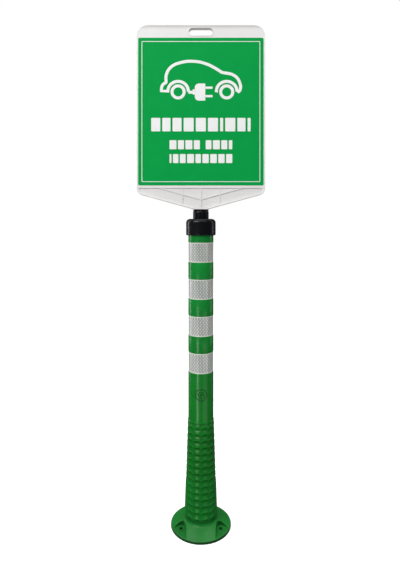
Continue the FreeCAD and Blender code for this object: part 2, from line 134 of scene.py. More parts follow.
def pick(kind, test):
    """Selects the points, edges or faces of the open mesh for which test(place, item) holds."""
    bpy.ops.mesh.select_mode(type=kind)
    bpy.ops.mesh.select_all(action="DESELECT")
    data = bpy.context.edit_object.data
    mesh = bmesh.from_edit_mesh(data)
    items = {"VERT": mesh.verts, "EDGE": mesh.edges, "FACE": mesh.faces}[kind]
    for item in items:
        if test(middle(item), item):
            item.select_set(True)
    mesh.select_flush_mode()
    bmesh.update_edit_mesh(data)


# %% Helpers: move, resize and lathe
def slide(x=0.0, y=0.0, z=0.0):
    """Moves what is selected."""
    bpy.ops.transform.translate(value=(x * MM, y * MM, z * MM))


def swell(x=1.0, y=1.0, z=1.0, about=(0, 0, 0)):
    """Resizes what is selected about a place."""
    bpy.ops.transform.resize(value=(x, y, z), center_override=[c * MM for c in about])


def draw_out(x=0.0, y=0.0, z=0.0):
    """Extrudes the selected edges."""
    bpy.ops.mesh.extrude_edges_move(TRANSFORM_OT_translate={"value": (x * MM, y * MM, z * MM)})


def push_faces(x=0.0, y=0.0, z=0.0):
    """Extrudes the selected faces."""
    bpy.ops.mesh.extrude_region_move(TRANSFORM_OT_translate={"value": (x * MM, y * MM, z * MM)})


def lathe(radius, height, profile):
    """Draws the selected loop out along (radius, height) points, a ring of faces at a time."""
    for next_radius, next_height in profile:
        draw_out(z=next_height - height)
        swell(next_radius / radius, next_radius / radius, 1, (0, 0, next_height))
        radius, height = next_radius, next_height


def turned_wall(name, profile, sides):
    """A circle drawn out along a section, left open in edit mode."""
    radius, height = profile[0]
    bpy.ops.mesh.primitive_circle_add(vertices=sides, radius=radius * MM, location=(0, 0, height * MM))
    piece = named(name)
    open_mesh(piece)
    lathe(radius, height, profile[1:])
    return piece


def turned(name, profile, sides=144):
    """A closed turned piece from the (radius, height) points of its section."""
    piece = turned_wall(name, profile + profile[:1], sides)
    close_mesh()
    return piece


def arc(radius, height, bend, start, end, steps):
    """(radius, height) points along a rounded corner of a section."""
    turns = [math.radians(start + (end - start) * i / steps) for i in range(steps + 1)]
    return [(radius + bend * math.cos(a), height + bend * math.sin(a)) for a in turns]


# %% Helpers: modifiers, cutting and handing over
def modify(piece, kind, **settings):
    """Adds a modifier, sets it and applies it."""
    take(piece)
    modifier = piece.modifiers.new(kind.lower(), kind)
    for key, value in settings.items():
        setattr(modifier, key, value)
    bpy.ops.object.modifier_apply(modifier=modifier.name)


def curl(piece, angle):
    """Bends a flat piece about Z by an angle."""
    modify(piece, "SIMPLE_DEFORM", deform_method="BEND", deform_axis="Z", angle=angle)


def combine(piece, tool, operation):
    """Cuts or joins a piece with a tool, and throws the tool away."""
    modify(piece, "BOOLEAN", operation=operation, object=tool, solver="EXACT")
    bpy.data.objects.remove(tool)


def joined(name, pieces):
    """Several loose meshes as one piece."""
    take(pieces[0])
    for piece in pieces:
        piece.select_set(True)
    bpy.ops.object.join()
    pieces[0].name = name
    return pieces[0]


def twin(piece, name):
    """A copy of a piece, with its own mesh."""
    copy = piece.copy()
    copy.data = piece.data.copy()
    copy.name = name
    bpy.context.scene.collection.objects.link(copy)
    return copy


def heights_of(node_name):
    """A CAD node's lowest and highest height, in millimetres."""
    low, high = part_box(node_name)
    return low.z / MM, high.z / MM


def hand_over(piece, finish, nodes=(), body=None, smooth=35, flat=False):
    """Shades a piece, gives it its finish, hides the CAD nodes it stands for and parents it to the body it
    rides on.
    """
    take(piece)
    piece.data.materials.clear()
    piece.data.materials.append(finish)
    bpy.ops.object.shade_smooth_by_angle(angle=math.radians(smooth))
    if flat:
        modify(piece, "WEIGHTED_NORMAL", keep_sharp=True)
    if nodes:
        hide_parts(*nodes)
    if body:
        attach(piece, body)
    print(piece.name, "faces", len(piece.data.polygons), "size mm",
          [round(d / MM, 1) for d in piece.dimensions])
    return piece


def paint_shade(piece, domain, amount):
    """Stores how much shade is painted on each point or face, from amount(place in mm, normal)."""
    mesh = piece.data
    items, normals = ((mesh.vertices, mesh.vertex_normals) if domain == "POINT"
                      else (mesh.polygons, mesh.polygon_normals))
    places = [(item.co if domain == "POINT" else item.center) / MM for item in items]
    shade = mesh.attributes.new("shade", "FLOAT", domain)
    for place_mm, normal, value in zip(places, normals, shade.data):
        value.value = amount(place_mm, normal.vector)


# %% [markdown]
# ## Finishes
# Each finish is a small tree of nodes. The colour wanders a little through a soft noise, the roughness
# through a finer one, and a bump gives the surface its grain. All of them read the piece's own
# coordinates, so the grain keeps its size and stays where it is when the post bends.

# %% Helpers: node trees
def new_finish(name, roughness, **inputs):
    """A material with its shader's constant values set."""
    finish = bpy.data.materials.new(name)
    finish.use_nodes = True
    shader = finish.node_tree.nodes["Principled BSDF"]
    shader.inputs["Roughness"].default_value = roughness
    for key, value in inputs.items():
        shader.inputs[key.replace("_", " ")].default_value = value
    return finish


def node(finish, kind, inputs=None, **settings):
    """Adds a node, sets its fields, and fills or links its inputs."""
    made = finish.node_tree.nodes.new("ShaderNode" + kind)
    for key, value in settings.items():
        setattr(made, key, value)
    for key, value in (inputs or {}).items():
        if isinstance(value, bpy.types.NodeSocket):
            finish.node_tree.links.new(value, made.inputs[key])
        else:
            made.inputs[key].default_value = value
    return made


def place(finish):
    """The piece's own coordinates."""
    return node(finish, "TexCoord").outputs["Object"]


def noise(finish, scale, detail=2.0, where=None):
    """A soft noise with that many bumps to the metre."""
    inputs = {"Vector": where or place(finish), "Scale": scale, "Detail": detail}
    return node(finish, "TexNoise", inputs).outputs["Fac"]


def ramp(finish, value, stops):
    """A colour ramp through (position, colour) stops."""
    made = node(finish, "ValToRGB", {"Fac": value})
    made.color_ramp.elements[0].position, made.color_ramp.elements[-1].position = stops[0][0], stops[-1][0]
    for position, _ in stops[1:-1]:
        made.color_ramp.elements.new(position)
    for element, (_, colour) in zip(made.color_ramp.elements, stops):
        element.color = (*colour, 1)
    return made.outputs["Color"]


def calc(finish, operation, *numbers):
    """One sum on patterns and numbers."""
    return node(finish, "Math", dict(enumerate(numbers)), operation=operation).outputs[0]


def fade(finish, value, start, end, low=0.0, high=1.0):
    """Goes from low to high while a value goes from start to end."""
    return node(finish, "MapRange", {"Value": value, "From Min": start, "From Max": end,
                                     "To Min": low, "To Max": high}).outputs["Result"]


def spread(finish, value, low, high):
    """A noise spread between two values."""
    return fade(finish, value, 0.3, 0.7, low, high)


def times(finish, colour, factor):
    """A colour made darker or lighter by a factor."""
    return node(finish, "VectorMath", {0: colour, "Scale": factor}, operation="SCALE").outputs["Vector"]


def bump(finish, value, strength, distance, under=None):
    """Height from a pattern, laid over another bump if there is one."""
    inputs = {"Height": value, "Strength": strength, "Distance": distance * MM}
    if under:
        inputs["Normal"] = under
    return node(finish, "Bump", inputs).outputs["Normal"]


def wire(finish, **outputs):
    """Links patterns to the shader's inputs."""
    shader = finish.node_tree.nodes["Principled BSDF"]
    for key, value in outputs.items():
        finish.node_tree.links.new(value, shader.inputs[key.replace("_", " ")])
    return finish


# %% [markdown]
# The post is cast in flexible polyurethane. It comes out of a polished mould glossy, with slow waves that
# make its highlights waver. Its green is painted deeper low down, over the scales, as painted shade where
# less light reaches, and it is a little rougher at the very foot, where it is scuffed.

# %% Green polyurethane
def green_polyurethane():
    """A glossy green that changes up the post, painted darker low down as shade, clouds softly and darkens by
    painted shade.
    """
    finish = new_finish("post_green", 0.3, Coat_Weight=0.12, Coat_Roughness=0.15, Specular_IOR_Level=0.3)
    where = place(finish)
    height = node(finish, "SeparateXYZ", {"Vector": where}).outputs["Z"]
    # The ramp paints the green darker low down, over the scales: painted shade, not a change in the plastic.
    green_with_low_shade = ramp(finish, fade(finish, height, 0.0, 0.75),
                [(0.0, (0.004, 0.158, 0.017)), (0.35, (0.001, 0.128, 0.007)),
                 (0.6, (0.002, 0.158, 0.012)), (1.0, (0.003, 0.215, 0.028))])
    colour = times(finish, green_with_low_shade, spread(finish, noise(finish, 14, 4, where), 0.86, 1.12))
    # The shade attribute darkens the colour further: painted shade under the lips, in the pockets, on the rim
    # and on the mark.
    painted_darkening = node(finish, "Attribute", attribute_name="shade").outputs["Fac"]
    colour = times(finish, colour, calc(finish, "MULTIPLY_ADD", painted_darkening, -0.7, 1.0))
    worn = fade(finish, height, 0.02, 0.05, 0.2, 0.0)
    gloss = calc(finish, "ADD", spread(finish, noise(finish, 90, 3, where), 0.24, 0.34), worn)
    wave = bump(finish, noise(finish, 26, 1, where), 0.06, 0.8)
    grain = bump(finish, noise(finish, 900, 2, where), 0.06, 0.1, wave)
    return wire(finish, Base_Color=colour, Roughness=gloss, Normal=grain)


post_green = green_polyurethane()


# %% [markdown]
# The bands are cut from grey prismatic sheet. Its tiny cube corners lie in slanting rows, and a few
# streaks run up the sheet where it was pressed onto the tube. Its upper and lower edges are sealed and
# paler. The pattern is laid out on the strip's UV map, which goes once along it and once across.

# %% Prismatic sheet
def prismatic_sheet():
    """Grey sheet with crossed rows of small cells, streaks, speckles and paler sealed edges."""
    finish = new_finish("reflective_sheet", 0.34, Coat_Weight=0.15, Coat_Roughness=0.2, Sheen_Weight=0.5)
    across = node(finish, "TexCoord").outputs["UV"]
    sheet = node(finish, "Mapping", {"Vector": across, "Scale": (0.269, 0.065, 1.0)}).outputs["Vector"]
    crossed = []
    for slant in (0.7, -0.7):
        lean = node(finish, "Mapping", {"Vector": sheet, "Rotation": (0, 0, slant)}).outputs["Vector"]
        rows = node(finish, "TexWave", {"Vector": lean, "Scale": 42.0}, bands_direction="X")
        crossed.append(rows.outputs["Fac"])
    cells = calc(finish, "MULTIPLY", *crossed)
    stretched = node(finish, "Mapping", {"Vector": sheet, "Scale": (1.0, 0.03, 1.0)}).outputs["Vector"]
    mixed = 0.0
    for pattern, weight in ((cells, 0.45), (noise(finish, 120, 1, stretched), 0.7),
                            (noise(finish, 420, 1, sheet), 0.35)):
        mixed = calc(finish, "MULTIPLY_ADD", pattern, weight, mixed)
    grey = ramp(finish, mixed, [(0.3, (0.15, 0.165, 0.15)), (0.58, (0.32, 0.34, 0.32)),
                                (0.95, (0.72, 0.74, 0.70))])
    height = node(finish, "SeparateXYZ", {"Vector": across}).outputs["Y"]
    from_middle = calc(finish, "ABSOLUTE", calc(finish, "SUBTRACT", height, 0.5))
    sealed = fade(finish, from_middle, 0.44, 0.46)
    colour = node(finish, "Mix", {"Factor": sealed, 6: grey, 7: (0.62, 0.66, 0.58, 1)},
                  data_type="RGBA").outputs[2]
    return wire(finish, Base_Color=colour, Normal=bump(finish, cells, 0.3, 0.15))


reflective = prismatic_sheet()


# %% [markdown]
# The rest are plain moulded plastics, a printed film, steel and rubber. They share one recipe: a colour
# that wanders between two tones, a roughness that wanders with it and a fine grain.

# %% Plain finishes
def simple(name, dark, light, rough, grain, blotch=20, **inputs):
    """A finish between two tones, with a roughness range and a (scale, strength, depth) grain."""
    finish = new_finish(name, rough[0], **inputs)
    where = place(finish)
    colour = ramp(finish, noise(finish, blotch, 3, where), [(0.3, dark), (0.7, light)])
    gloss = spread(finish, noise(finish, blotch * 6, 3, where), *rough)
    scale, strength, depth = grain
    return wire(finish, Base_Color=colour, Roughness=gloss,
                Normal=bump(finish, noise(finish, scale, 2, where), strength, depth))


cap_black = simple("cap_black", (0.003, 0.0035, 0.005), (0.006, 0.0065, 0.009), (0.24, 0.34),
                   (1400, 0.12, 0.08), Specular_IOR_Level=0.3)
board_white = simple("board_white", (0.78, 0.77, 0.76), (0.82, 0.81, 0.80), (0.35, 0.45),
                     (500, 0.06, 0.08), 8)
label_green = simple("label_green", (0.0015, 0.325, 0.06), (0.002, 0.34, 0.064), (0.2, 0.26),
                     (900, 0.02, 0.02), Specular_IOR_Level=0.15)
label_white = simple("label_white", (0.86, 0.87, 0.86), (0.9, 0.9, 0.9), (0.3, 0.4), (900, 0.05, 0.05))
plug_grey = simple("plug_grey", (0.12, 0.12, 0.12), (0.17, 0.17, 0.17), (0.45, 0.6), (700, 0.2, 0.1))
bush_natural = simple("bush_natural", (0.66, 0.64, 0.58), (0.75, 0.73, 0.67), (0.4, 0.5), (700, 0.1, 0.1))
seal_rubber = simple("seal_rubber", (0.008, 0.008, 0.008), (0.016, 0.016, 0.016), (0.6, 0.8), (900, 0.3, 0.1))
steel = simple("steel", (0.5, 0.5, 0.5), (0.64, 0.63, 0.62), (0.22, 0.36), (1200, 0.1, 0.05), Metallic=1.0)


# %% [markdown]
# The white plastic is painted a little greyer where the board is thin, in the recessed field at its foot, and
# along its top edge: painted shade in the recess and under the rounded top. Both come from the piece's own
# depth and height.

# %% Shade of the board
def shaded(finish, *fades):
    """Multiplies the colour by fades, each (axis, value at full shade, value without, shade)."""
    shader = finish.node_tree.nodes["Principled BSDF"]
    colour = shader.inputs["Base Color"].links[0].from_socket
    axes = node(finish, "SeparateXYZ", {"Vector": place(finish)}).outputs
    for axis, full, none, shade in fades:
        size = calc(finish, "ABSOLUTE", axes[axis])
        colour = times(finish, colour, fade(finish, size, full, none, shade, 1.0))
    return wire(finish, Base_Color=colour)


# Painted shade: greyer in the recessed field and along the top edge.
shaded(board_white, ("Y", 0.0055, 0.0072, 0.95), ("Z", 1.668, 1.652, 0.68))

# %% Finishes for the CAD nodes
node_finish = {"post_green": post_green, "reflective_sheet": reflective, "cap_black": cap_black,
               "plug_grey": plug_grey, "bush_natural": bush_natural, "steel": steel,
               "seal_rubber": seal_rubber, "board_white": board_white, "label_green": label_green}
for row in frame["record"]["subparts"]:
    for material_slot in frame["nodes"][row["node"]].material_slots:
        material_slot.material = node_finish[row["material_slot"]]
print("finishes", sorted(node_finish))

# %% [markdown]
# ## The scaled zone
# Twelve columns of scales go round the post and fifteen rows go up it. Each scale swells towards an arched
# lip and is undercut below the next one. One scale is modelled flat, then repeated sideways and upwards
# with Array, and the flat sheet is bent round the post with Simple Deform, as a sheet of rubber would be.

# %% One scale, flat
COLUMNS = 12
ROW = 20.8
FIRST_LIP = 48.0
SPLIT_ROW = 7
ROWS = 15
GROUND_R = 53.0
SLOPE = 0.030
ARCH = 5.5
LIP = 1.7
LIP_OUT = 3.3
RIDGE = 0.9
PANEL_OUT = 2.8
COLUMN_WIDTH = 2 * math.pi * GROUND_R / COLUMNS
STEPS_ACROSS = 12
# Up the middle of a scale: height above its lip, and how far it stands out of the cone
SCALE_SECTION = ((0.0, LIP_OUT), (0.8, 3.1), (2.2, 2.3), (5.0, 0.4), (8.0, -0.3), (11.0, -0.7),
                 (13.5, -0.9), (16.5, -0.5), (18.8, 0.5), (20.0, 2.0), (ROW, LIP_OUT))


def flat_scale(name):
    """One scale in the XZ plane, with its outside towards -Y."""
    rows = len(SCALE_SECTION) - 1
    bpy.ops.mesh.primitive_grid_add(x_subdivisions=STEPS_ACROSS, y_subdivisions=rows, size=1,
                                    rotation=(math.pi / 2, 0, 0))
    scale = named(name)
    open_mesh(scale)
    swell(COLUMN_WIDTH * MM, 1, 1)
    for row, (height, out) in enumerate(SCALE_SECTION):
        level = 1000 * (row / rows - 0.5)
        pick("VERT", lambda p, v: abs(p.z - level) < 1 and abs(p.y) < 0.001)
        slide(y=-out - 50, z=height - level)
    pick_all()
    slide(y=50)
    for step in range(STEPS_ACROSS + 1):
        across = 2 * step / STEPS_ACROSS - 1
        pick("VERT", lambda p, v: abs(p.x - across * COLUMN_WIDTH / 2) < 0.1)
        swell(1, max(0.0, math.cos(across * math.pi / 2)) ** 1.1, 1, (0, -RIDGE, 0))
        slide(z=-ARCH * across * across)
    leave_mesh()
    return scale


def arched(p):
    """The height of a place with the arch of the scales taken out."""
    across = 2 * ((p.x / COLUMN_WIDTH) % 1) - 1
    return p.z + ARCH * across * across


# %% A sheet of scales
def scale_sheet(name, first_row, rows):
    """Rows of scales as one flat sheet, with a column's edge in the middle of the front."""
    sheet = flat_scale(name)
    for count, step in ((COLUMNS, (COLUMN_WIDTH, 0, 0)), (rows, (0, 0, ROW))):
        modify(sheet, "ARRAY", count=count, use_relative_offset=False, use_constant_offset=True,
               constant_offset_displace=[s * MM for s in step], use_merge_vertices=True,
               merge_threshold=0.01 * MM)
    open_mesh(sheet)
    slide(x=-COLUMN_WIDTH * (COLUMNS - 1) / 2, z=FIRST_LIP + first_row * ROW)
    return sheet


def bend_round(sheet):
    """Bends the flat sheet into a tube about Z and tapers it."""
    leave_mesh()
    heights = [v.co.z / MM for v in sheet.data.vertices]
    curl(sheet, 2 * math.pi)
    open_mesh(sheet)
    slide(y=-GROUND_R)
    bpy.ops.mesh.remove_doubles(threshold=0.02 * MM)
    leave_mesh()
    modify(sheet, "SIMPLE_DEFORM", deform_method="TAPER", deform_axis="Z",
           factor=-SLOPE / GROUND_R * (max(heights) - min(heights)))


# %% [markdown]
# The lower skin has seven rows. Beside them, at the left and the right, lie smooth panels that stand as
# proud as the lips. On the flat sheet such a panel is made in one move: its points are pressed flat. The
# inner wall is drawn down from the top edge and bridged to the outside at the foot, which closes the skin.

# %% Lower skin
FOOT_TOP = heights_of("foot_flange")[1]
WALL = 4.0
GAP = 0.3                       # between the foot and the skin
ROOT_TOP = FIRST_LIP - 8        # below it the root is plain
PANEL_ROWS = 5
SEAM = FIRST_LIP + SPLIT_ROW * ROW
SEAM_INSIDE = SEAM - 7          # the skins part lower down on the inside
SHEET_HALF = COLUMNS * COLUMN_WIDTH / 2 - 0.1    # leaves out the upright edges, which meet when bent

lower_skin = scale_sheet("lower_skin", 0, SPLIT_ROW)
pick("EDGE", lambda p, e: e.is_boundary and arched(p) < FIRST_LIP + 2 and abs(p.x) < SHEET_HALF)
draw_out(z=-1)
swell(1, 0, 1, (0, -LIP, 0))
draw_out(z=-1)
swell(1, 1, 0, (0, 0, ROOT_TOP))
draw_out(z=FOOT_TOP + GAP - ROOT_TOP)
pick("VERT", lambda p, v: 2.04 < abs(p.x) / COLUMN_WIDTH < 3.96 and p.z > ROOT_TOP + 1
     and arched(p) < FIRST_LIP + PANEL_ROWS * ROW - 0.3)
swell(1, 0, 1, (0, -PANEL_OUT, 0))
bend_round(lower_skin)


# %% Lower skin: the inner wall
def cone(height):
    """The cone's radius under the scales."""
    return GROUND_R - SLOPE * height


def bore(height):
    """The radius of the inside of the zone."""
    return cone(height) - WALL


def inner_wall(from_height, to_height, step=9.0):
    """(radius, height) points down the inside, close enough together to bend."""
    count = round(abs(from_height - to_height) / step)
    heights = [from_height + (to_height - from_height) * i / count for i in range(count + 1)]
    return [(bore(h), h) for h in heights]


open_mesh(lower_skin)
pick("EDGE", lambda p, e: e.is_boundary and p.z > SEAM - 8)
draw_out(z=-0.01)
swell(bore(SEAM) / cone(SEAM), bore(SEAM) / cone(SEAM), 0, (0, 0, SEAM_INSIDE))
lathe(bore(SEAM), SEAM_INSIDE, inner_wall(SEAM_INSIDE - 6, FOOT_TOP + GAP))
pick("EDGE", lambda p, e: e.is_boundary)
bpy.ops.mesh.bridge_edge_loops()
close_mesh()
print("lower skin holds", round(volume(lower_skin)), "mm3 of rubber")
hand_over(lower_skin, post_green, ["flex_zone_lower"], smooth=50)
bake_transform(lower_skin)

# %% Painted shade under the lips
COLLAR_LOW, COLLAR_TOP = 350.4, 351.1


def under_lips(p, normal):
    """Painted shade where the skin looks down under the lips, and round the root of the post."""
    root = 0.55 if p.z < FIRST_LIP - 2 else 0.0
    return max(root, min(0.65, -1.5 * normal.z)) if p.z < COLLAR_TOP + 0.9 else 0.0


paint_shade(lower_skin, "POINT", under_lips)

# %% [markdown]
# The upper skin starts at the eighth lip. Its top row is cut short under a small raised collar, and from
# there the same mesh is drawn up into the plain tube, with a shallow recess for each band.

# %% Upper skin and tube
TUBE_R = 42.0
TUBE_BORE = 37.5
POST_TOP = heights_of("post_tube")[1]
band_spans = sorted(heights_of("reflective_band_%d" % number) for number in (1, 2, 3, 4))
BAND_HALF = (band_spans[0][1] - band_spans[0][0]) / 2
print("bands at", [round((low + high) / 2) for low, high in band_spans], "half height", round(BAND_HALF, 2))

upper_skin = scale_sheet("upper_skin", SPLIT_ROW, ROWS - SPLIT_ROW)
last_lip = FIRST_LIP + (ROWS - 1) * ROW
pick("VERT", lambda p, v: arched(p) > last_lip + 12)
bpy.ops.mesh.delete(type="VERT")
pick("EDGE", lambda p, e: e.is_boundary and arched(p) > last_lip + 9.5 and abs(p.x) < SHEET_HALF)
draw_out(z=1)
swell(1, 0, 0, (0, 0.2, COLLAR_LOW))
draw_out(y=-1.6, z=COLLAR_TOP - COLLAR_LOW)
bend_round(upper_skin)

# %% Tube: recesses for the bands, and the inside
tube_section = [(43.65, 352.2), (43.4, 353.3), (42.3, 355.7), (42.0, 356.8)]
for band_low, band_high in band_spans:
    low, high = band_low - 1, band_high + 1
    tube_section += [(TUBE_R, low - 0.7), (TUBE_R - 0.12, low - 0.15), (TUBE_R - 0.8, low),
                     (TUBE_R - 0.8, high), (TUBE_R - 0.12, high + 0.15), (TUBE_R, high + 0.7)]
tube_section += [(TUBE_R, POST_TOP), (TUBE_BORE, POST_TOP), (TUBE_BORE, 358.0)]
open_mesh(upper_skin)
pick("EDGE", lambda p, e: e.is_boundary and p.z > last_lip)
collar_r = (GROUND_R + 1.4) * (1 - SLOPE * COLLAR_TOP / GROUND_R)
lathe(collar_r, COLLAR_TOP, tube_section + inner_wall(350, SEAM_INSIDE))
print("collar radius", round(collar_r, 2))
pick("EDGE", lambda p, e: e.is_boundary)
bpy.ops.mesh.bridge_edge_loops()
close_mesh()
hand_over(upper_skin, post_green, ["flex_zone_upper", "post_tube"], smooth=50)
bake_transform(upper_skin)
# The same painted shade goes under the upper skin's lips.
paint_shade(upper_skin, "POINT", under_lips)


# %% [markdown]
# A round mark of rings stands on the front of the tube, where the mould's date insert sits. The rings are
# turned flat and bent onto the tube the same way as the scales.

# %% Mould mark
def domed(name, profile, sides):
    """A turned piece that is closed at its foot and its top."""
    piece = turned_wall(name, profile, sides)
    bpy.ops.mesh.edge_face_add()
    pick("EDGE", lambda p, e: e.is_boundary)
    bpy.ops.mesh.edge_face_add()
    close_mesh()
    return piece


def mark_ring(inner, outer):
    """The section of one raised ring of the mark."""
    return [(inner, -0.8), (outer, -0.8), (outer, 1.0), (outer - 0.6, 1.5), (inner + 0.6, 1.5), (inner, 1.0)]


def stand_up(piece, turn=(math.pi / 2, 0, 0), at=(0, 0, 0)):
    """Turns a piece made lying flat, and moves it to its place."""
    piece.rotation_euler = turn
    piece.location = [c * MM for c in at]
    take(piece)
    bpy.ops.object.transform_apply(location=True, rotation=True, scale=True)
    return piece


MARK_WIDTH, MARK_HEIGHT = 40.0, 447.0
mark = joined("mould_mark", [turned("ring_outer", mark_ring(17.2, 19.8), 72),
                             turned("ring_inner", mark_ring(8.2, 10.6), 72),
                             domed("dot", [(3.2, -0.8), (3.2, 1.0), (2.4, 1.4), (0.8, 1.5)], 24)])
stand_up(mark)
curl(mark, MARK_WIDTH / TUBE_R)
stand_up(mark, (0, 0, 0), (0, -TUBE_R, MARK_HEIGHT))
hand_over(mark, post_green, body="post")
# The whole mark is painted darker: painted shade standing for the shadow round its raised rings.
paint_shade(mark, "POINT", lambda p, normal: 0.75)

# %% [markdown]
# ## The foot
# The foot is cast in one with the post: a low cone with a rounded root and a thin edge. Its section is
# turned like a bowl. Three open pockets are then cut into it for the bolts, each with a raised seat. They
# are cut and not extruded, because a pocket's walls run off the cone at a slant.

# %% Foot: the turned body
FLANGE_R = 100.0
CROWN_SLOPE = 0.4
ROOT_R = 8.0
FOOT_WALL_R = cone(FOOT_TOP) + LIP


def crown_height(radius):
    """The height of the flange's low cone at a radius."""
    return 8 + CROWN_SLOPE * (98 - radius)


root_centre = FOOT_WALL_R + ROOT_R
root_height = crown_height(root_centre) + ROOT_R * math.hypot(1, CROWN_SLOPE)
meets = 180 + math.degrees(math.atan2(1, CROWN_SLOPE))
crown = [(r, crown_height(r)) for r in (97.2, 92, 84, 76, 68)]
edge = [(99.0, 0.0), (99.7, 0.3), (FLANGE_R, 1.0), (FLANGE_R, 6.0), (99.6, 7.2), (98.7, 8.0)]
foot_section = ([(49.0, 0.0)] + edge + crown + arc(root_centre, root_height, ROOT_R, meets, 180, 7)
                + [(FOOT_WALL_R, FOOT_TOP), (49.0, FOOT_TOP)])
foot = turned("foot_moulding", foot_section)
print("root radius", ROOT_R, "starts at", round(root_centre, 1))

# %% Foot: pockets, seats and holes
BOLT_CIRCLE_R = 75.0
POCKET_R = 14.0
POCKET_FLOOR = 9.0
# Each seat's direction, and the directions of the two walls that its pocket opens between
SEATS = ((90, 60, 120), (210, 215, 276), (330, 264, 325))


def around(angle, radius):
    """A flat step from the axis, in millimetres."""
    return radius * math.cos(math.radians(angle)), radius * math.sin(math.radians(angle))


def pocket_tool(seat, low_wall, high_wall):
    """A round cutter whose outer half is drawn outwards along the two walls."""
    x, y = around(seat, BOLT_CIRCLE_R)
    y -= math.copysign(5.0, y)
    bpy.ops.mesh.primitive_circle_add(vertices=72, radius=POCKET_R * MM, fill_type="NGON",
                                      location=(x * MM, y * MM, POCKET_FLOOR * MM))
    tool = named("pocket_tool")
    open_mesh(tool)
    for wall, side in ((low_wall, -1), (high_wall, 1)):
        along = around(wall, 1)
        outwards = around((low_wall + high_wall) / 2, 1)

        def on_this_side(p, v):
            """A point of the circle's outer half, on the side of this wall."""
            dx, dy = p.x - x, p.y - y
            ahead = dx * along[0] + dy * along[1]
            beside = (outwards[0] * dy - outwards[1] * dx) * side
            return -0.7 < ahead < POCKET_R + 1 and beside > -0.01

        pick("VERT", on_this_side)
        slide(x=70 * along[0], y=70 * along[1])
    pick_all()
    push_faces(z=30)
    swell(1.12, 1.12, 1, (x, y, 0))
    close_mesh()
    return tool


def pin_tool(name, places, radius, low, high, sides=36):
    """Upright cylinders at some places, as one cutter."""
    tools = []
    for x, y in places:
        bpy.ops.mesh.primitive_cylinder_add(vertices=sides, radius=radius * MM, depth=(high - low) * MM,
                                            location=(x * MM, y * MM, (high + low) / 2 * MM))
        tools.append(named(name))
    return joined(name, tools)


# %% Foot: cut the pockets and soften the edges
seat_places = [around(seat, BOLT_CIRCLE_R) for seat, _, _ in SEATS]
combine(foot, joined("pockets", [pocket_tool(*seat) for seat in SEATS]), "DIFFERENCE")
combine(foot, pin_tool("seats", seat_places, 10.5, 4, POCKET_FLOOR + 0.8), "UNION")
combine(foot, pin_tool("holes", seat_places, 6.0, -5, 30), "DIFFERENCE")
modify(foot, "BEVEL", limit_method="ANGLE", angle_limit=math.radians(38), width=0.9 * MM, segments=3)
hand_over(foot, post_green, ["foot_flange"], "foot", smooth=40, flat=True)

# %% [markdown]
# Shade is painted into the pockets and onto the outer rim, where upright walls lie in shadow. A number on
# each face says how much: most on upright walls and in the bolt holes, less on the floors. The green
# finish darkens by it.

# %% Foot: painted shade in the pockets and on the rim
def foot_painted_shade(p, normal):
    """Painted shade on the rim, and on what lies below the crown, inside a pocket."""
    away = math.hypot(p.x, p.y)
    if away > 98.0:
        return 0.9
    if 60 < away < 97 and 0.5 < p.z < crown_height(away) - 0.7:
        return 0.95 if abs(normal.z) < 0.6 else 0.15
    return 0.0


paint_shade(foot, "FACE", foot_painted_shade)

# %% [markdown]
# ## The bands
# A band is one strip of sheet, a little longer than the way round the tube, so that its ends lap at the
# back. The strip is made flat, one end is lifted by its own thickness, and it is bent round the tube. A
# turned ring would be simpler, but it has no lap and no length for the pattern to run along.

# %% Four bands
BAND_R = 41.25
LAP = 10.0
strip_length = 2 * math.pi * BAND_R + LAP


def band(number):
    """One reflective band in its recess."""
    low, high = heights_of("reflective_band_%d" % number)
    bpy.ops.mesh.primitive_grid_add(x_subdivisions=160, y_subdivisions=4, size=1,
                                    rotation=(math.pi / 2, 0, 0))
    strip = named("band_%d" % number)
    open_mesh(strip)
    swell(strip_length * MM, 1, 2 * BAND_HALF * MM)
    pick("VERT", lambda p, v: p.x > strip_length / 2 - LAP - 2)
    slide(y=-0.42)
    leave_mesh()
    modify(strip, "SOLIDIFY", thickness=0.36 * MM, offset=-1)
    curl(strip, strip_length / BAND_R)
    stand_up(strip, (0, 0, 0), (0, -BAND_R, (low + high) / 2))
    return hand_over(strip, reflective, ["reflective_band_%d" % number], "post")


for band_number in (1, 2, 3, 4):
    band(band_number)

# %% [markdown]
# ## The cap and the neck
# The cap is a moulded black collar with a full round shoulder. Two screws in deep recesses hold it to the
# post, and the ribbed ring that locks the sign turns in its socket. Its whole section is turned, inside
# steps and all. The recesses are cut with cylinders, because an inset would follow the curved wall.

# %% Cap
CAP_R = 49.5
cap_low, cap_high = 966.0, 1021.0
shoulder = arc(CAP_R - 13, cap_high - 13, 13, 0, 90, 14)
cap_section = ([(42.2, cap_low), (45.5, cap_low), (47.4, cap_low + 0.6), (48.7, cap_low + 1.8),
                (49.3, cap_low + 3.4), (CAP_R, cap_low + 5.4)] + shoulder
               + [(23.0, cap_high), (22.3, cap_high + 0.2), (22.0, cap_high + 0.8), (22.0, 1042.0),
                  (19.1, 1042.0), (19.1, 985.0), (22.0, 985.0), (22.0, 1013.0), (33.5, 1013.0),
                  (37.4, 1009.0), (37.4, 1000.1), (42.05, 1000.1)])
cap = turned("cap", cap_section)

# %% Cap: recesses for the screws
SCREW_ANGLES = (-12.0, 168.0)
SCREW_HEIGHT = 993.0


def radial(name, radius, near, far, angle, sides=40):
    """A cylinder that points outwards at the height of the cap screws."""
    bpy.ops.mesh.primitive_cylinder_add(vertices=sides, radius=radius * MM, depth=(far - near) * MM)
    x, y = around(angle, (near + far) / 2)
    return stand_up(named(name), (0, math.pi / 2, math.radians(angle)), (x, y, SCREW_HEIGHT))


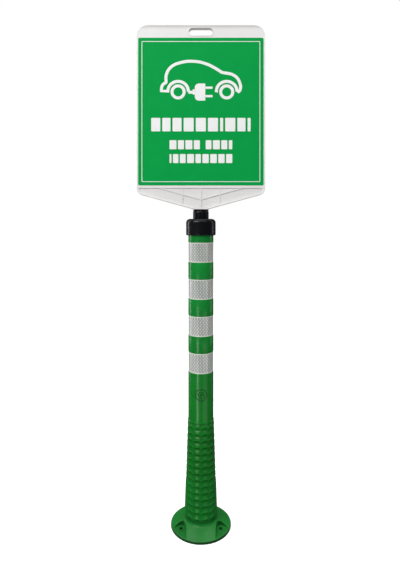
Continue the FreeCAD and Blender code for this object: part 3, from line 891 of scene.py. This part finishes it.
combine(cap, joined("recess", [radial("recess", 5.5, 45.5, 56, a) for a in SCREW_ANGLES]), "DIFFERENCE")
combine(cap, joined("shank_holes", [radial("hole", 2.6, 40, 47, a) for a in SCREW_ANGLES]), "DIFFERENCE")


def recess_rim(p, e):
    """An edge on the rim of a screw recess."""
    for angle in SCREW_ANGLES:
        x, y = around(angle, 1)
        beside = -p.x * y + p.y * x
        if p.x * x + p.y * y > 48 and abs(math.hypot(beside, p.z - SCREW_HEIGHT) - 5.5) < 0.15:
            return e.calc_length() < 3 * MM and e.calc_face_angle(0) > 0.5
    return False


open_mesh(cap)
pick("EDGE", recess_rim)
bpy.ops.mesh.bevel(offset=0.7 * MM, segments=3)
leave_mesh()
hand_over(cap, cap_black, ["cap_collar"], "post", smooth=40, flat=True)


# %% Cap screws
def screw_head(name, radius, rise, slot):
    """A round screw head that points up, with a cross cut into it."""
    head = domed(name, [(radius, 0), (radius, rise * 0.45), (radius * 0.93, rise * 0.72),
                        (radius * 0.72, rise * 0.93), (radius * 0.3, rise)], 36)
    for turn in (0, 90):
        bpy.ops.mesh.primitive_cube_add(size=1, location=(0, 0, rise * MM),
                                        rotation=(0, 0, math.radians(turn)),
                                        scale=(radius * 1.15 * MM, slot * MM, rise * 0.9 * MM))
        combine(head, named("cross"), "DIFFERENCE")
    return head


screws = []
for angle in SCREW_ANGLES:
    x, y = around(angle, 45.5)
    head = screw_head("cap_screw", 4.6, 3.0, 1.0)
    stand_up(head, (0, math.pi / 2, math.radians(angle)), (x, y, SCREW_HEIGHT))
    screws += [head, radial("shank", 2.4, 32, 46, angle, 24)]
cap_screws = joined("cap_screw_heads", screws)
hand_over(cap_screws, steel, ["cap_screws"], "post")

# %% [markdown]
# The lock ring has twelve grip ribs. It is turned plain. Then the faces of each rib are pushed outwards, so
# the ring stays one closed mesh, and all its corners are softened, because a hand turns it.

# %% Lock ring
RING_ROOT, RING_RIB = 24.9, 26.4
ring_low, ring_high = 1021.3, 1047.7
ring_section = [(22.1, ring_low), (RING_ROOT, ring_low), (RING_ROOT, ring_low + 0.7), (RING_ROOT, 1029.0),
                (RING_ROOT, 1038.0), (RING_ROOT, ring_high - 1.6), (RING_ROOT - 0.9, ring_high - 0.5),
                (RING_ROOT - 1.4, ring_high), (17.4, ring_high), (17.4, 1044.3), (22.1, 1044.3)]
lock_ring = turned("grip_ring", ring_section)


def on_rib(p, face):
    """A face of the outside that belongs to a rib."""
    turn = math.degrees(math.atan2(p.y, p.x)) % 30
    outside = math.hypot(p.x, p.y) > RING_ROOT - 0.2
    return outside and 7.4 < turn < 22.6 and ring_low + 0.7 < p.z < ring_high - 1.6


open_mesh(lock_ring)
pick("FACE", on_rib)
push_faces()
swell(RING_RIB / RING_ROOT, RING_RIB / RING_ROOT, 1)
leave_mesh()
modify(lock_ring, "BEVEL", limit_method="ANGLE", angle_limit=math.radians(40), width=0.5 * MM, segments=2)
hand_over(lock_ring, cap_black, ["lock_ring"], "neck_ring", smooth=40)

# %% [markdown]
# ## The board
# The board is two moulded half shells. Each has a rounded outline, a rounded front edge, and at its foot a
# recessed field crossed by ribs. The outline is drawn as one flat face, its corners are rounded, and the
# face is pushed back to give the shell its thickness. One half is modelled and copied for the other side.

# %% Board outline
BOARD_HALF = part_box("sign_front_shell")[1].x / MM
BOARD_LOW, BOARD_TOP = heights_of("sign_front_shell")
FOOT_HALF = 27.0
SLANT = 0.277
THICK = 8.0
RIM = 9.0
shoulder_height = BOARD_LOW + 2 + SLANT * (BOARD_HALF - FOOT_HALF)
print("board", BOARD_LOW, BOARD_TOP, "shoulder", round(shoulder_height, 1))


def round_corners(test, reach, steps):
    """Rounds the corners of a flat face that pass the test."""
    pick("VERT", test)
    bpy.ops.mesh.bevel(offset=reach * MM, segments=steps, affect="VERTICES")


def upright_face(name, width, low, high, depth=0.0):
    """A flat upright face that looks towards -Y, left open in edit mode."""
    bpy.ops.mesh.primitive_plane_add(size=1, rotation=(math.pi / 2, 0, 0))
    face = named(name)
    open_mesh(face)
    swell(width * MM, 1, (high - low) * MM)
    slide(y=depth, z=(low + high) / 2)
    return face


half_shell = upright_face("half_shell", 2 * BOARD_HALF, shoulder_height, BOARD_TOP, -RIM)
pick("EDGE", lambda p, e: p.z < shoulder_height + 1)
draw_out(z=BOARD_LOW - shoulder_height)
swell((FOOT_HALF - 2 / SLANT) / BOARD_HALF, 1, 1)
pick("EDGE", lambda p, e: not e.is_boundary)
bpy.ops.mesh.dissolve_edges(use_verts=False)
round_corners(lambda p, v: p.z > BOARD_TOP - 1, 37, 14)
round_corners(lambda p, v: abs(p.z - shoulder_height) < 1, 16.7, 10)

# %% Half shell: thickness, rounded edge, raised rim and parting edge
pick_all()
push_faces(y=RIM)
pick_all()
bpy.ops.mesh.normals_make_consistent(inside=False)


def on_outline(depth):
    """A test for the edges round the shell at one depth."""
    return lambda p, e: abs(p.y - depth) < 0.01 and e.calc_face_angle(0) > 1


def in_plane(depth, side=0):
    """A test for the flat faces at one depth, on one side of the middle or on both."""
    return lambda p, face: (abs(p.y - depth) < 0.01 and abs(face.normal.y) > 0.99
                            and (not side or p.x * side > 0))


pick("EDGE", on_outline(-RIM))
bpy.ops.mesh.bevel(offset=2 * MM, segments=5)
pick("EDGE", on_outline(0))
bpy.ops.mesh.bevel(offset=0.4 * MM, segments=1)
pick("FACE", in_plane(-RIM))
bpy.ops.mesh.inset(thickness=0.4 * MM)
bpy.ops.mesh.inset(thickness=2.2 * MM, depth=(THICK - RIM) * MM)

# %% Half shell: recessed field and ribs
POCKET_TOP = 1124.0
POCKET_DEPTH = 3.0
V_APEX = 1086.0
RIB_HALF = 1.5


def cut_across(height, x=0.0, normal=(0, 0, 1)):
    """Cuts the selected faces along a plane through (x, height)."""
    bpy.ops.mesh.bisect(plane_co=(x * MM, 0, height * MM), plane_no=normal)


pick("FACE", in_plane(-THICK))
cut_across(POCKET_TOP + 4)
pick("FACE", lambda p, f: in_plane(-THICK)(p, f) and p.z < POCKET_TOP)
bpy.ops.mesh.inset(thickness=4 * MM)
push_faces(y=POCKET_DEPTH)
swell(0.997, 1, 0.985, (0, 0, (POCKET_TOP + BOARD_LOW) / 2))
field = POCKET_DEPTH - THICK
for x in (-62, 0, 62):
    for edge in (-RIB_HALF, RIB_HALF):
        pick("FACE", in_plane(field))
        cut_across(0, x + edge, (1, 0, 0))
for side in (-1, 1):
    for edge in (-RIB_HALF, RIB_HALF):
        pick("FACE", in_plane(field, side))
        cut_across(V_APEX + edge, 0, (-side * SLANT, 0, 1))


def is_rib(p, face):
    """A piece of the field's floor that lies under a rib."""
    upright = min(abs(p.x), abs(abs(p.x) - 62)) < RIB_HALF
    slanting = abs(p.z - V_APEX - SLANT * abs(p.x)) < RIB_HALF
    return in_plane(field)(p, face) and (upright or slanting)


pick("FACE", is_rib)
push_faces(y=-POCKET_DEPTH + 0.5)
close_mesh()
print("half shell faces", len(half_shell.data.polygons))

# %% [markdown]
# A hand slot with a raised lip goes through the top of the board. Slot and lip are long holes with round
# ends, so both come from one helper that makes a plate with rounded corners.

# %% Hand slot
SLOT_HEIGHT = 1645.0
SLOT_WIDTH, SLOT_TALL, SLOT_LIP = 80.0, 24.0, 4.5


def plate(name, x, height, width, tall, corner, front, back, steps=6):
    """An upright plate with rounded corners between two depths."""
    piece = upright_face(name, width, height - tall / 2, height + tall / 2, front)
    round_corners(lambda p, v: True, corner, steps)
    pick_all()
    push_faces(y=back - front)
    pick_all()
    slide(x=x)
    close_mesh()
    return piece


for name, grow, depths, operation in (("lip", SLOT_LIP, (-RIM, -THICK + 2), "UNION"),
                                      ("slot", 0.0, (-30, 30), "DIFFERENCE")):
    width, tall = SLOT_WIDTH + 2 * grow, SLOT_TALL + 2 * grow
    combine(half_shell, plate(name, 0, SLOT_HEIGHT, width, tall, tall / 2 - 0.1, *depths, 10), operation)
open_mesh(half_shell)
pick("EDGE", lambda p, e: abs(p.y + RIM) < 0.01 and abs(p.x) < 45 and abs(p.z - SLOT_HEIGHT) < 17
     and e.calc_face_angle(0) > 1)
bpy.ops.mesh.bevel(offset=0.6 * MM, segments=3)
leave_mesh()
print("slot", SLOT_WIDTH, "by", SLOT_TALL, "with a lip of", SLOT_LIP)

# %% Front and rear shells
SHELL_SCREWS = ((-150, 1647), (150, 1647), (-100, 1097), (100, 1097), (-12, 1075), (12, 1075))
rear_shell = twin(half_shell, "shell_rear")
half_shell.name = "shell_front"
stand_up(rear_shell, (0, 0, math.pi))


def level(name, radius, near, far, x, height, sides=32):
    """A cylinder along Y."""
    bpy.ops.mesh.primitive_cylinder_add(vertices=sides, radius=radius * MM, depth=abs(far - near) * MM)
    return stand_up(named(name), (math.pi / 2, 0, 0), (x, (near + far) / 2, height))


combine(rear_shell, joined("counterbores", [level("bore", 3.9, 4.5, 12, x, z) for x, z in SHELL_SCREWS]),
        "DIFFERENCE")
for shell, stands_for in ((half_shell, "sign_front_shell"), (rear_shell, "sign_rear_shell")):
    hand_over(shell, board_white, [stands_for], "sign", smooth=40, flat=True)

# %% Shell screws
heads = []
for x, z in SHELL_SCREWS:
    head = screw_head("shell_screw", 3.5, 1.8, 0.8)
    heads.append(stand_up(head, (-math.pi / 2, 0, 0), (x, 4.5, z)))
shell_screws = joined("shell_screw_heads", heads)
hand_over(shell_screws, steel, ["shell_screws"], "sign")

# %% [markdown]
# ## The labels
# Each face of the board carries a green film with a white print: a frame, a car with a charging plug, and
# three rows of bars where the words would be. The print is modelled as thin raised ink, so that it has
# crisp edges from near and far. The car is drawn with curves, which are given a round section, turned into
# a mesh and pressed flat.

# %% Films
LABEL_WIDTH, LABEL_LOW, LABEL_TOP = 418.0, 1132.5, 1624.5
FILM = 0.4
INK = 0.15
INK_FACE = -THICK - FILM
label_middle = (LABEL_LOW + LABEL_TOP) / 2
label_tall = LABEL_TOP - LABEL_LOW
film = plate("film_front", 0, label_middle, LABEL_WIDTH, label_tall, 5, INK_FACE, -THICK)


def inked(x, height, width, tall, corner, steps=6):
    """A block of ink with rounded corners, on the film."""
    return plate("ink", x, height, width, tall, corner, INK_FACE - INK, INK_FACE, steps)


def frame_line(margin, line):
    """The white frame: a plate with its middle taken out."""
    outer = inked(0, label_middle, LABEL_WIDTH - 2 * margin, label_tall - 2 * margin, 3)
    inner = plate("frame_gap", 0, label_middle, LABEL_WIDTH - 2 * margin - 2 * line,
                  label_tall - 2 * margin - 2 * line, 1.5, -30, 30)
    combine(outer, inner, "DIFFERENCE")
    return outer


ink = [frame_line(11.5, 2.0)]

# %% Rows of bars
# Each row: its height, how tall its bars are, the gap between them and their widths. Below 0 is a space.
BAR_ROWS = ((1335.0, 45.0, 7.0, (30, 27, 30, 33.5, 33.5, 33.5, 10, 33.5, 27, 10)),
            (1268.0, 30.0, 5.0, (23, 20, 23, 20, -9.5, 19, 23, 20, 11.5)),
            (1222.0, 30.0, 5.0, (6.5, 18, 19, 23, 18, 21, 22, 21, 20.5)))
for row_height, tall, gap, widths in BAR_ROWS:
    x = -(sum(abs(w) for w in widths) + gap * (len(widths) - 1)) / 2
    for width in widths:
        if width > 0:
            ink.append(inked(x + width / 2, row_height, width, tall, 2.5, 3))
        x += abs(width) + gap

print("pieces of ink so far", len(ink))


# %% Car and plug
def stroke(points, width, closed=False, corners=()):
    """A line of ink through (x, height) points; the numbered points are sharp corners."""
    curve = bpy.data.curves.new("stroke", "CURVE")
    curve.dimensions = "3D"
    curve.resolution_u = 10
    curve.bevel_depth = width / 2 * MM
    curve.bevel_resolution = 3
    curve.use_fill_caps = True
    line = curve.splines.new("BEZIER")
    line.bezier_points.add(len(points) - 1)
    line.use_cyclic_u = closed
    for number, (x, z) in enumerate(points):
        point = line.bezier_points[number]
        point.co = (x * MM, 0, z * MM)
        kind = "VECTOR" if number in corners else "AUTO"
        point.handle_left_type = point.handle_right_type = kind
    piece = bpy.data.objects.new("stroke", curve)
    bpy.context.scene.collection.objects.link(piece)
    take(piece)
    bpy.ops.object.convert(target="MESH")
    piece = bpy.context.object
    open_mesh(piece)
    swell(1, 2 * INK / width, 1)
    slide(y=INK_FACE)
    close_mesh()
    return piece


def circle_points(x, z, radius, start, end, count):
    """Points round part of a circle."""
    turns = [math.radians(start + (end - start) * i / count) for i in range(count + 1)]
    return [(x + radius * math.cos(a), z + radius * math.sin(a)) for a in turns]


STROKE = 10.4
AXLE = 1444.0
REAR_WHEEL, FRONT_WHEEL = -76.0, 86.0
car = [(REAR_WHEEL - 34, AXLE + 3), (-132, AXLE + 3), (-128, AXLE + 22), (-116, AXLE + 32),
       (-115, AXLE + 58), (-98, AXLE + 84), (-66, AXLE + 98), (-26, AXLE + 102), (16, AXLE + 94),
       (46, AXLE + 80), (70, AXLE + 65), (112, AXLE + 54), (129, AXLE + 32), (130, AXLE + 6), (122, AXLE - 2)]
ink.append(stroke(car, STROKE, corners=(0, 1, 3, 10)))
for wheel in (REAR_WHEEL, FRONT_WHEEL):
    ink.append(stroke(circle_points(wheel, AXLE, 20, 0, 315, 7), STROKE, closed=True))
    ink.append(stroke(circle_points(wheel, AXLE, 35, 182, 2, 6), STROKE))
ink.append(stroke([(REAR_WHEEL + 34, AXLE - 1), (-26, AXLE - 1)], STROKE, corners=(0, 1)))
ink.append(inked(-23.5, AXLE, 8, 18, 1.5, 2))
plug = upright_face("plug", 35, AXLE - 29, AXLE + 28, INK_FACE - INK)
round_corners(lambda p, v: p.x < 0, 14, 8)
pick_all()
slide(x=-3)
push_faces(y=INK)
close_mesh()
ink.append(plug)
for side in (-14, 14):
    ink.append(inked(26, AXLE + side, 26, 7.5, 2.5, 3))
print("pieces of ink in all", len(ink))

# %% Both labels
front_print = joined("print_front", ink)
for flat_piece, name, finish, slot_name, node_name in (
        (front_print, "print", label_white, "board_white", None),
        (film, "film", label_green, "label_green", "label")):
    for side, turn in (("front", 0.0), ("rear", math.pi)):
        sheet = stand_up(twin(flat_piece, "label_%s_%s" % (name, side)), (0, 0, turn))
        hand_over(sheet, finish, [node_name + "_" + side] if node_name else (), "sign")
    bpy.data.objects.remove(flat_piece)

# %% [markdown]
# ## Floor, light and camera
# The post stands on white paper and is lit softly from the left and above. White paper in a white room
# would fill its shadows and wash out its gloss. So both are white only to the camera, and a light-path
# switch makes them darker to the light that falls on the post. One large softbox is the key, small cards
# put highlights on the tube and the foot, and strips behind light the edges. The camera is level, just
# below the cap's top, and a small shift of the lens takes in the foot.

# %% Floor and background
def by_ray(tree, seen, diffuse, mirrored):
    """A number that differs for the camera, for diffuse light and for reflections."""
    path = tree.nodes.new("ShaderNodeLightPath")
    value = mirrored
    for ray, number in (("Is Diffuse Ray", diffuse), ("Is Camera Ray", seen)):
        mixer = tree.nodes.new("ShaderNodeMapRange")
        mixer.inputs["To Max"].default_value = number
        if isinstance(value, float):
            mixer.inputs["To Min"].default_value = value
        else:
            tree.links.new(value, mixer.inputs["To Min"])
        tree.links.new(path.outputs[ray], mixer.inputs["Value"])
        value = mixer.outputs["Result"]
    return value


bpy.ops.mesh.primitive_plane_add(size=40, location=(0, 0, 0))
floor = named("floor")
floor_paper = new_finish("floor_paper", 0.85, Specular_IOR_Level=0.1)
floor_paper.node_tree.nodes["Principled BSDF"].inputs["Emission Color"].default_value = (1, 1, 1, 1)
wire(floor_paper, Base_Color=by_ray(floor_paper.node_tree, 0.95, 0.2, 0.05),
     Emission_Strength=by_ray(floor_paper.node_tree, 0.22, 0.0, 0.0))
floor.data.materials.append(floor_paper)
world = bpy.data.worlds.new("studio")
bpy.context.scene.world = world
world.use_nodes = True
background = world.node_tree.nodes["Background"]
background.inputs["Color"].default_value = (1, 1, 1, 1)
world.node_tree.links.new(by_ray(world.node_tree, 1.0, 0.5, 0.04), background.inputs["Strength"])


# %% Lights
def softbox(name, at, towards, width, height, power):
    """A flat light of a given size, turned towards a place."""
    bpy.ops.object.light_add(type="AREA", location=at)
    lamp = bpy.context.object
    lamp.name = name
    lamp.data.shape = "RECTANGLE"
    lamp.data.size, lamp.data.size_y = width, height
    lamp.data.energy = power
    gaze = Vector(towards) - Vector(at)
    lamp.rotation_euler = gaze.to_track_quat("-Z", "Y").to_euler()
    print("light", name, power, "W")


bpy.ops.object.light_add(type="SUN", location=(0, 0, 4), rotation=(math.radians(-8), 0, 0))
overhead = bpy.context.object
overhead.name = "overhead"
overhead.data.energy = 1.4
overhead.data.angle = math.radians(50)
softbox("key", (-2.4, -2.8, 3.4), (0, 0, 1.0), 2.4, 1.6, 98)
softbox("card_top", (0, -1.5, 2.8), (0, 0, 0.3), 3.5, 0.5, 16)
softbox("strip_front", (-0.56, -1.0, 0.27), (0, 0, 0.27), 0.2, 0.54, 2.2)
softbox("card_right", (0.75, -1.0, 0.18), (0, 0, 0.18), 0.9, 0.36, 1.2)
softbox("strip_left", (-1.7, 0.7, 1.1), (0, 0, 0.8), 0.3, 2.0, 10)
softbox("strip_right", (1.8, 0.5, 1.1), (0, 0, 0.8), 0.2, 2.0, 4)

# %% Camera
bpy.ops.object.camera_add(location=(-0.003, -1.48, 0.988), rotation=(math.pi / 2, 0, 0))
camera = bpy.context.object
camera.data.sensor_fit = "VERTICAL"
camera.data.sensor_height = 36.0
camera.data.lens = 27.9
camera.data.shift_y = -0.0986
bpy.context.scene.camera = camera
bpy.context.scene.view_settings.view_transform = "Standard"
